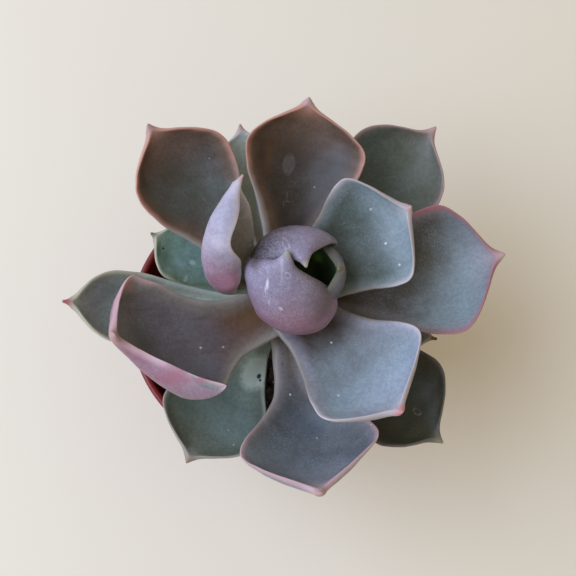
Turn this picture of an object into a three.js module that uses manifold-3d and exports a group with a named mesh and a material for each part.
// Potted lotus echeveria: an open rosette of thick, cupped, pointed leaves on a short stem, in a small round nursery pot filled with soil.
// Millimetres, +Z up. The origin is the centre of the pot's underside. Seen from above, +X is to the right and +Y is up the picture.
import * as THREE from "three";
import Module from "manifold-3d";

const wasm = await Module();
wasm.setup();
const { Manifold, Mesh } = wasm;

// driving dimensions
const POT_HEIGHT = 62;
const POT_RIM_R = 35; // outside of the rim
const POT_BASE_R = 24;
const POT_WALL = 1.5;
const POT_FLOOR_TOP = 3;
const COLLAR_BOTTOM = 52.5; // the thickened band below the rim starts here
const DRAIN_HOLES = 4;
const DRAIN_R = 3;
const DRAIN_CIRCLE_R = 14;

const SOIL_TOP = 52.3;
const SOIL_GAP = 0.3; // soil to pot
const SOIL_LUMP = 0.7;

const PLANT_X = 3; // the plant stands a little off the pot's centre
const PLANT_Y = 3.5;
const STEM_R = 5;
const STEM_BOTTOM = 30;
const STEM_GAP = 0.3; // stem to soil, and leaf base to stem
const LEAF_GAP = 0.3; // pressed leaves keep this much apart

const LEAF_ROWS = 18; // sections along a leaf
const LEAF_RING = 16; // points round a section

// the leaves, in the order they grew, youngest first
// heading: compass angle of the tip seen from above, degrees from +X towards +Y. rootTurn: how far the foot is turned from that heading.
// reach: tip's distance from the stem's axis. tip, root: heights of the tip and of the foot. width: at the widest place.
// rise, end: slope of the midrib at the foot and at the tip, 90 is straight up and more leans back over the middle.
// cupL, cupR: how far each half is rolled up, degrees. neck: foot width as a share of the widest. wide: where along the leaf it is widest.
// shoulder: how full it is just before it narrows to the point. skew: share by which the left half is wider. swingEnd: turn of the midrib's last stretch. face: compass angle its back looks towards.
// wideLeft, shoulderLeft: the same for the left half where it differs. skewFoot: skew at the foot where it differs. slant: how far the
// left half lies nearer the tip than the right. rollFrom: where the rolling up starts. unroll, unrollAt: how much the left half opens again, and where.
const BUD_LEAVES = {
  bud_leaf_inner: { heading: 200, reach: 1, tip: 98, root: 86, rootR: 2.2, width: 9, rise: 60, end: 120, neck: 0.6, cupL: 70, cupR: 70, thick: 2.2, color: 0x8f8aa0 },
  bud_leaf_front: { heading: 295, rootTurn: -24, swingEnd: -30, face: 250, reach: -5.5, tip: 107, root: 83, rootR: 3.6, width: 32, rise: 22, end: 160, neck: 0.5, cupL: 85, cupR: 85, pullRoot: 0.42, pullTip: 0.55, wide: 0.5, slant: -0.26, skew: -0.04, color: 0xa596b6 },
  bud_leaf_rear: { heading: 43, rootTurn: 56, swingEnd: 59, face: 101, reach: 2.8, tip: 106, root: 84, rootR: 3.2, width: 27, rise: 14, end: 180, neck: 0.5, cupL: 85, cupR: 50, pullRoot: 0.5, pullTip: 0.66, wide: 0.56, slant: 0.1, skew: 0.06, color: 0xa99bb5 },
  bud_leaf_right: { heading: 12, rootTurn: -12, swingEnd: 40, reach: 10.2, tip: 103, root: 85, rootR: 2.6, width: 20, rise: 8, end: 125, neck: 0.5, cupL: 60, cupR: 90, pullRoot: 0.53, pullTip: 0.42, wide: 0.55, skew: 0.06, color: 0x9c95a4 },
};
const ROSETTE_LEAVES = {
  leaf_01: { heading: 33.5, reach: 34.5, tip: 98, root: 80.9, width: 33, rise: 35, end: 60, neck: 0.5, color: 0x8b9ea0 },
  leaf_02: { heading: 121, rootTurn: 41, swingEnd: -62, face: 128, reach: 25, tip: 110, root: 79, width: 25, rise: 30, end: 50, neck: 0.5, flare: 0.12, cupL: 185, cupR: 40, pullRoot: 0.53, pullTip: 0.5, skew: 0.25, skewFoot: -0.6, wide: 0.47, rollFrom: -0.1, unroll: 0.42, unrollAt: 0.75, color: 0xab9bb0 },
  leaf_03: { heading: 311, reach: 39.7, tip: 96, root: 76.9, width: 36, rise: 20, end: 60, neck: 0.45, skew: 0.06, color: 0x8f97ab },
  leaf_04: { heading: 84, reach: 48, tip: 92, root: 76, width: 34, rise: 15, end: 50, skew: -0.06, color: 0x6e6166 },
  leaf_05: { heading: 198, rootTurn: 10, face: 206, reach: 42.6, tip: 97, root: 74.5, width: 41, rise: 2, end: 94, neck: 0.36, cupL: 100, cupR: 50, pullRoot: 0.56, pullTip: 0.33, skew: 0.24, wide: 0.66, wideLeft: 0.52, shoulder: 1.1, shoulderLeft: 1.4, rollFrom: 0, unroll: 0.35, unrollAt: 0.88, slant: -0.05, color: 0x7d7079 },
  leaf_06: { heading: 11, reach: 57, tip: 86, root: 72.6, width: 38, rise: 10, end: 45, skew: -0.06, color: 0x7d7885 },
  leaf_07: { heading: 130, reach: 53.6, tip: 86, root: 71.5, width: 31, rise: 10, end: 45, neck: 0.3, color: 0x716d70 },
  leaf_08: { heading: 280, reach: 49.3, tip: 86, root: 70, width: 39, rise: 8, end: 75, neck: 0.2, flare: 0.36, color: 0x838495 },
  leaf_09: { heading: 48.6, reach: 62, tip: 79, root: 69, width: 32, rise: 5, end: 30, neck: 0.3, color: 0x646d70 },
  leaf_10: { heading: 182.6, reach: 54, tip: 78, root: 67.8, width: 21, rise: 8, end: 30, neck: 0.3, skew: 0.15, color: 0x77847c },
  leaf_11: { heading: 319, reach: 55, tip: 75, root: 66.2, width: 30, rise: 6, end: 25, neck: 0.3, skew: 0.12, color: 0x606a66 },
  leaf_12: { heading: 102.6, reach: 48, tip: 73, root: 65.4, width: 24, rise: 10, end: 25, neck: 0.3, color: 0x7c8878 },
  leaf_13: { heading: 241, reach: 47, tip: 71, root: 64.2, width: 30, rise: 12, end: 20, neck: 0.3, color: 0x6e8077 },
  leaf_14: { heading: 349, reach: 44, tip: 66.5, root: 62.9, width: 15, rise: 10, end: 10, neck: 0.3, skew: 0.25, color: 0x5f6254 },
  leaf_15: { heading: 152, reach: 37.4, tip: 69, root: 61.9, width: 20, rise: 14, end: 20, color: 0x5f7d70 },
};
const USUAL_LEAF = {
  ...{ rootTurn: 0, rootR: STEM_R + STEM_GAP, swingEnd: 0, face: null, cupL: 50, cupR: 50, channel: 30, thick: 3, neck: 0.34, wide: 0.7, shoulder: 1, flare: 0.22, pullRoot: 0.38, pullTip: 0.38, skew: 0 },
  ...{ wideLeft: null, shoulderLeft: null, skewFoot: null, slant: 0, rollFrom: 0.15, unroll: 0, unrollAt: 0.7 },
};
const UNROLL_SPREAD = 0.13; // share of the leaf's length

// small helpers
const rad = (d) => (d * Math.PI) / 180;
const smooth = (x, a, b) => {
  const t = Math.min(1, Math.max(0, (x - a) / (b - a)));
  return t * t * (3 - 2 * t);
};
const heading = (azimuth, slope) => new THREE.Vector3(Math.cos(azimuth) * Math.cos(slope), Math.sin(azimuth) * Math.cos(slope), Math.sin(slope));

// A number from 0 to 1 that depends only on a whole number.
function chance(n) {
  const s = Math.sin(n * 127.1 + 311.7) * 43758.5453;
  return s - Math.floor(s);
}

// Smooth curve through 2-D points; u runs 0 to 1 and the points are evenly spaced in u.
function through(points, u) {
  const first = points[0],
    last = points[points.length - 1];
  const p = [[2 * first[0] - points[1][0], 2 * first[1] - points[1][1]], ...points, [2 * last[0] - points[points.length - 2][0], 2 * last[1] - points[points.length - 2][1]]];
  const x = Math.min(1, Math.max(0, u)) * (p.length - 3);
  const i = Math.min(Math.floor(x), p.length - 4);
  const t = x - i;
  return [0, 1].map((k) => {
    const a = p[i][k],
      b = p[i + 1][k],
      c = p[i + 2][k],
      d = p[i + 3][k];
    return 0.5 * (2 * b + (c - a) * t + (2 * a - 5 * b + 4 * c - d) * t * t + (3 * b - a - 3 * c + d) * t * t * t);
  });
}

function solidFrom(points, triangles) {
  const made = new Manifold(new Mesh({ numProp: 3, vertProperties: Float32Array.from(points.flat()), triVerts: Uint32Array.from(triangles.flat()) }));
  if (made.volume() > 0) return made;
  return new Manifold(new Mesh({ numProp: 3, vertProperties: Float32Array.from(points.flat()), triVerts: Uint32Array.from(triangles.map(([a, b, c]) => [a, c, b]).flat()) }));
}

// Half-width of a leaf along its length, as [place along the leaf, share of the widest half-width]: a narrow foot, a broad
// rounded upper part and a short drawn-out point.
function outlineOf(L) {
  const rest = 1 - L.wide,
    grow = L.wide - L.flare,
    open = 1 - L.neck;
  return [
    [0, 0.95 * L.neck],
    [0.5 * L.flare, L.neck],
    [L.flare, L.neck + 0.1 * open],
    [L.flare + 0.36 * grow, L.neck + 0.42 * open],
    [L.flare + 0.7 * grow, L.neck + 0.84 * open],
    [L.wide, 1],
    [L.wide + 0.3 * rest, 0.94 * L.shoulder],
    [L.wide + 0.54 * rest, 0.72 * L.shoulder],
    [L.wide + 0.69 * rest, 0.45],
    [L.wide + 0.79 * rest, 0.22],
    [L.wide + 0.88 * rest, 0.09],
    [1, 0.02],
  ];
}

// The share of the half-width at place t of an outline.
function shareAt(outline, t) {
  let low = 0,
    high = 1;
  for (let i = 0; i < 30; i++) {
    const middle = (low + high) / 2;
    if (through(outline, middle)[0] < t) low = middle;
    else high = middle;
  }
  return through(outline, low)[1];
}

// One leaf: sections swept along a curved midrib, each section a thick strip rolled up at both sides. grow makes a copy that
// is larger all over, used to keep pressed leaves apart.
function leafSolid(given, grow = 0) {
  const L = { ...USUAL_LEAF, ...given };
  const outline = outlineOf(L),
    leftOutline = outlineOf({ ...L, wide: L.wideLeft ?? L.wide, shoulder: L.shoulderLeft ?? L.shoulder });
  const azimuth = rad(L.heading),
    rootAzimuth = rad(L.heading + L.rootTurn);
  const foot = new THREE.Vector3(PLANT_X + L.rootR * Math.cos(rootAzimuth), PLANT_Y + L.rootR * Math.sin(rootAzimuth), L.root);
  const tip = new THREE.Vector3(PLANT_X + L.reach * Math.cos(azimuth), PLANT_Y + L.reach * Math.sin(azimuth), L.tip);
  const span = tip.distanceTo(foot);
  const nearFoot = foot.clone().addScaledVector(heading(rootAzimuth, rad(L.rise)), L.pullRoot * span);
  const nearTip = tip.clone().addScaledVector(heading(azimuth + rad(L.swingEnd), rad(L.end)), -L.pullTip * span);
  const midrib = new THREE.CubicBezierCurve3(foot, nearFoot, nearTip, tip);
  const face = L.face === null ? azimuth : rad(L.face);
  const sideways = new THREE.Vector3(-Math.sin(face), Math.cos(face), 0);

  const points = [],
    triangles = [];
  const base = new THREE.Vector3(),
    end = new THREE.Vector3();
  for (let row = 0; row < LEAF_ROWS; row++) {
    const [place, share] = through(outline, row / (LEAF_ROWS - 1));
    const t = Math.min(1, Math.max(0, place));
    const centre = midrib.getPointAt(t);
    const along = midrib.getTangentAt(t);
    const side = sideways.clone().addScaledVector(along, -sideways.dot(along)).normalize();
    const up = new THREE.Vector3().crossVectors(along, side);
    const half = Math.max((share * L.width) / 2, 0.45),
      leftHalf = Math.max((shareAt(leftOutline, t) * L.width) / 2, 0.45);
    const thick = Math.min((L.thick / 2) * (1.25 - 0.55 * smooth(t, 0.1, 0.75)), 0.85 * half);
    const rolled = smooth(t, L.rollFrom, L.wide),
      unrolled = 1 - L.unroll * Math.exp(-(((t - L.unrollAt) / UNROLL_SPREAD) ** 2)),
      skew = L.skew + ((L.skewFoot ?? L.skew) - L.skew) * (1 - smooth(t, 0.05, 0.38));
    for (let k = 0; k < LEAF_RING; k++) {
      const a = (2 * Math.PI * k) / LEAF_RING;
      const across = Math.abs(Math.cos(a)) < 1e-9 ? 0 : Math.sign(Math.cos(a)) * Math.abs(Math.cos(a)) ** (1 / 1.2);
      const level = Math.abs(Math.sin(a)) < 1e-9 ? 0 : Math.sign(Math.sin(a)) * Math.abs(Math.sin(a)) ** (1 / 1.2);
      const left = across >= 0;
      const roll = rad(L.channel + (left ? (L.cupL - L.channel) * unrolled : L.cupR - L.channel) * rolled);
      const w = (left ? leftHalf * (1 + skew) : half * (1 - skew)) + grow;
      const turn = roll * Math.abs(across) * Math.sign(across);
      const offset = (level > 0 ? 0.8 : 1.2) * thick * level + grow * Math.sign(level);
      const x = (w / roll) * Math.sin(turn) - Math.sin(turn) * offset;
      const y = (w / roll) * (1 - Math.cos(turn)) + Math.cos(turn) * offset;
      const p = centre.clone().addScaledVector(side, x).addScaledVector(along, L.slant * x).addScaledVector(up, y);
      points.push([p.x, p.y, p.z]);
      if (row === 0) base.addScaledVector(p, 1 / LEAF_RING);
      if (row === LEAF_ROWS - 1) end.addScaledVector(p, 1 / LEAF_RING);
    }
    if (row === 0) base.addScaledVector(along, -grow);
    if (row === LEAF_ROWS - 1) end.addScaledVector(along, 0.4 + grow);
  }
  const baseAt = points.push([base.x, base.y, base.z]) - 1,
    endAt = points.push([end.x, end.y, end.z]) - 1;
  for (let k = 0; k < LEAF_RING; k++) {
    const next = (k + 1) % LEAF_RING;
    for (let row = 0; row < LEAF_ROWS - 1; row++) {
      const a = row * LEAF_RING;
      triangles.push([a + k, a + next, a + LEAF_RING + next], [a + k, a + LEAF_RING + next, a + LEAF_RING + k]);
    }
    const top = (LEAF_ROWS - 1) * LEAF_RING;
    triangles.push([baseAt, next, k], [endAt, top + k, top + next]);
  }
  return solidFrom(points, triangles);
}

// A turned solid from a closed profile of [radius, height] points that starts and ends on the axis.
function turned(profile, segments) {
  const ring = profile.slice(1, -1);
  const points = [],
    triangles = [];
  for (let s = 0; s < segments; s++) {
    const a = (2 * Math.PI * s) / segments;
    for (const [r, z] of ring) points.push([r * Math.cos(a), r * Math.sin(a), z]);
  }
  const first = points.push([0, 0, profile[0][1]]) - 1,
    last = points.push([0, 0, profile[profile.length - 1][1]]) - 1;
  const n = ring.length;
  for (let s = 0; s < segments; s++) {
    const a = s * n,
      b = ((s + 1) % segments) * n;
    for (let i = 0; i < n - 1; i++) triangles.push([a + i, b + i, b + i + 1], [a + i, b + i + 1, a + i + 1]);
    triangles.push([first, b, a], [last, a + n - 1, b + n - 1]);
  }
  return solidFrom(points, triangles);
}

// the pot
const wallAt = (z) => POT_BASE_R + 0.2 + ((31.9 - POT_BASE_R - 0.2) * (z - 0.6)) / (COLLAR_BOTTOM - 0.6); // outside of the wall below the collar
function potSolid() {
  const profile = [
    [0, 0],
    [8, 0], // the middle of the underside stands level with the foot
    [8.8, 1],
    [19.2, 1],
    [20, 0],
    [POT_BASE_R - 0.4, 0],
    [POT_BASE_R + 0.2, 0.6],
    [wallAt(COLLAR_BOTTOM), COLLAR_BOTTOM],
    [33.3, COLLAR_BOTTOM],
    [33.7, COLLAR_BOTTOM + 0.4],
    [POT_RIM_R - 0.1, POT_HEIGHT - 1.6],
    [POT_RIM_R, POT_HEIGHT - 0.7],
    [POT_RIM_R - 0.4, POT_HEIGHT - 0.1],
    [POT_RIM_R - 1, POT_HEIGHT],
    [POT_RIM_R - 1.7, POT_HEIGHT - 0.2],
    [POT_RIM_R - 2, POT_HEIGHT - 0.8],
    [32.2, COLLAR_BOTTOM + 1],
    [wallAt(50.5) - POT_WALL, 50.5],
    [wallAt(4) - POT_WALL, 4],
    [wallAt(POT_FLOOR_TOP) - POT_WALL - 0.7, POT_FLOOR_TOP],
    [0, POT_FLOOR_TOP],
  ];
  let pot = turned(profile, 48);
  for (let i = 0; i < DRAIN_HOLES; i++) {
    const a = rad(45 + (360 * i) / DRAIN_HOLES);
    pot = pot.subtract(Manifold.cylinder(POT_FLOOR_TOP + 2, DRAIN_R, DRAIN_R, 16).translate([DRAIN_CIRCLE_R * Math.cos(a), DRAIN_CIRCLE_R * Math.sin(a), -1]));
  }
  return pot;
}

// the potting soil: fills the pot, lumpy on top, with a plain hole for the stem
function soilSolid() {
  const around = 40;
  const floor = POT_FLOOR_TOP + SOIL_GAP;
  const rings = [
    [wallAt(floor) - POT_WALL - 1.1, floor],
    [wallAt(4.5) - POT_WALL - SOIL_GAP - 0.1, 4.5],
    [wallAt(50) - POT_WALL - SOIL_GAP - 0.1, 50],
    [wallAt(50) - POT_WALL - SOIL_GAP - 0.3, SOIL_TOP - 1.2],
    [27.6, SOIL_TOP],
    [24.6, SOIL_TOP],
    [21, SOIL_TOP + 0.2],
    [17, SOIL_TOP + 0.3],
    [13, SOIL_TOP + 0.5],
    [9.6, SOIL_TOP + 0.7],
    [4, SOIL_TOP + 0.8],
  ];
  const points = [],
    triangles = [];
  rings.forEach(([r, z], i) => {
    const x = i < 5 ? 0 : PLANT_X * (1 - r / 27.6),
      y = i < 5 ? 0 : PLANT_Y * (1 - r / 27.6);
    for (let k = 0; k < around; k++) {
      const a = (2 * Math.PI * (k + (i % 2) / 2)) / around;
      const top = i >= 4;
      const lump = top ? SOIL_LUMP * (2 * chance(i * 97 + k * 13) - 1) + 0.35 * Math.sin(3 * a + i) : 0;
      const slip = top ? 0.5 * (2 * chance(i * 31 + k * 7 + 5) - 1) : 0;
      points.push([x + (r + slip) * Math.cos(a), y + (r + slip) * Math.sin(a), z + lump]);
    }
  });
  const under = points.push([0, 0, floor]) - 1,
    middle = points.push([PLANT_X, PLANT_Y, SOIL_TOP + 0.8]) - 1;
  for (let k = 0; k < around; k++) {
    const next = (k + 1) % around;
    for (let i = 0; i < rings.length - 1; i++) {
      const a = i * around,
        b = a + around;
      if (i % 2) triangles.push([a + k, a + next, b + next], [a + k, b + next, b + k]);
      else triangles.push([a + k, a + next, b + k], [a + next, b + next, b + k]);
    }
    const top = (rings.length - 1) * around;
    triangles.push([under, next, k], [middle, top + k, top + next]);
  }
  const hole = Manifold.cylinder(60, STEM_R + STEM_GAP, STEM_R + STEM_GAP, 28).translate([PLANT_X, PLANT_Y, STEM_BOTTOM - STEM_GAP]);
  return solidFrom(points, triangles).subtract(hole);
}

// the stem: short and plain, narrowing where the bud's leaves sit
const STEM_PROFILE = [
  [0, STEM_BOTTOM],
  [4.4, STEM_BOTTOM],
  [4.8, STEM_BOTTOM + 0.6],
  [STEM_R, 46],
  [STEM_R, 54.5],
  [4.8, 56.2],
  [STEM_R, 58],
  [STEM_R, 80],
  [3.3, 82.7],
  [2.9, 83.8],
  [2.3, 85],
  [1.9, 86],
  [1, 87],
  [0, 87],
];
// The same with the gap that every leaf base keeps from it.
const STEM_CLEAR = [
  [0, STEM_BOTTOM - 1],
  [STEM_R + STEM_GAP, STEM_BOTTOM - 1],
  [STEM_R + STEM_GAP, 80.2],
  [3.6, 82.9],
  [3.2, 84],
  [2.6, 85.2],
  [2.2, 86.2],
  [1.3, 87.3],
  [0, 87.3],
];

// putting it together
const part = new THREE.Group();
part.name = "potted_lotus_echeveria";

function add(name, solid, color, roughness) {
  const { vertProperties, triVerts } = solid.getMesh();
  const geometry = new THREE.BufferGeometry();
  geometry.setAttribute("position", new THREE.BufferAttribute(new Float32Array(vertProperties), 3));
  geometry.setIndex(new THREE.BufferAttribute(new Uint32Array(triVerts), 1));
  geometry.computeVertexNormals();
  const mesh = new THREE.Mesh(geometry, new THREE.MeshStandardMaterial({ name, color, roughness, metalness: 0 }));
  mesh.name = name;
  part.add(mesh);
}

add("pot", potSolid(), 0x7d1b1f, 0.45);
add("soil", soilSolid(), 0x2c2119, 0.95);
add("stem", turned(STEM_PROFILE, 24).translate([PLANT_X, PLANT_Y, 0]), 0x7c6a4c, 0.85);

const stemClear = turned(STEM_CLEAR, 48).translate([PLANT_X, PLANT_Y, 0]);
const placed = [];
for (const [name, given] of Object.entries({ ...BUD_LEAVES, ...ROSETTE_LEAVES })) {
  let leaf = leafSolid(given).subtract(stemClear);
  for (const other of placed) if (leaf.minGap(other.leaf, LEAF_GAP) < 0.8 * LEAF_GAP) leaf = leaf.subtract(other.wide);
  leaf = leaf.decompose().sort((a, b) => b.volume() - a.volume())[0];
  placed.push({ leaf, wide: leafSolid(given, LEAF_GAP) });
  add(name, leaf, given.color, 0.6);
}

export default part;
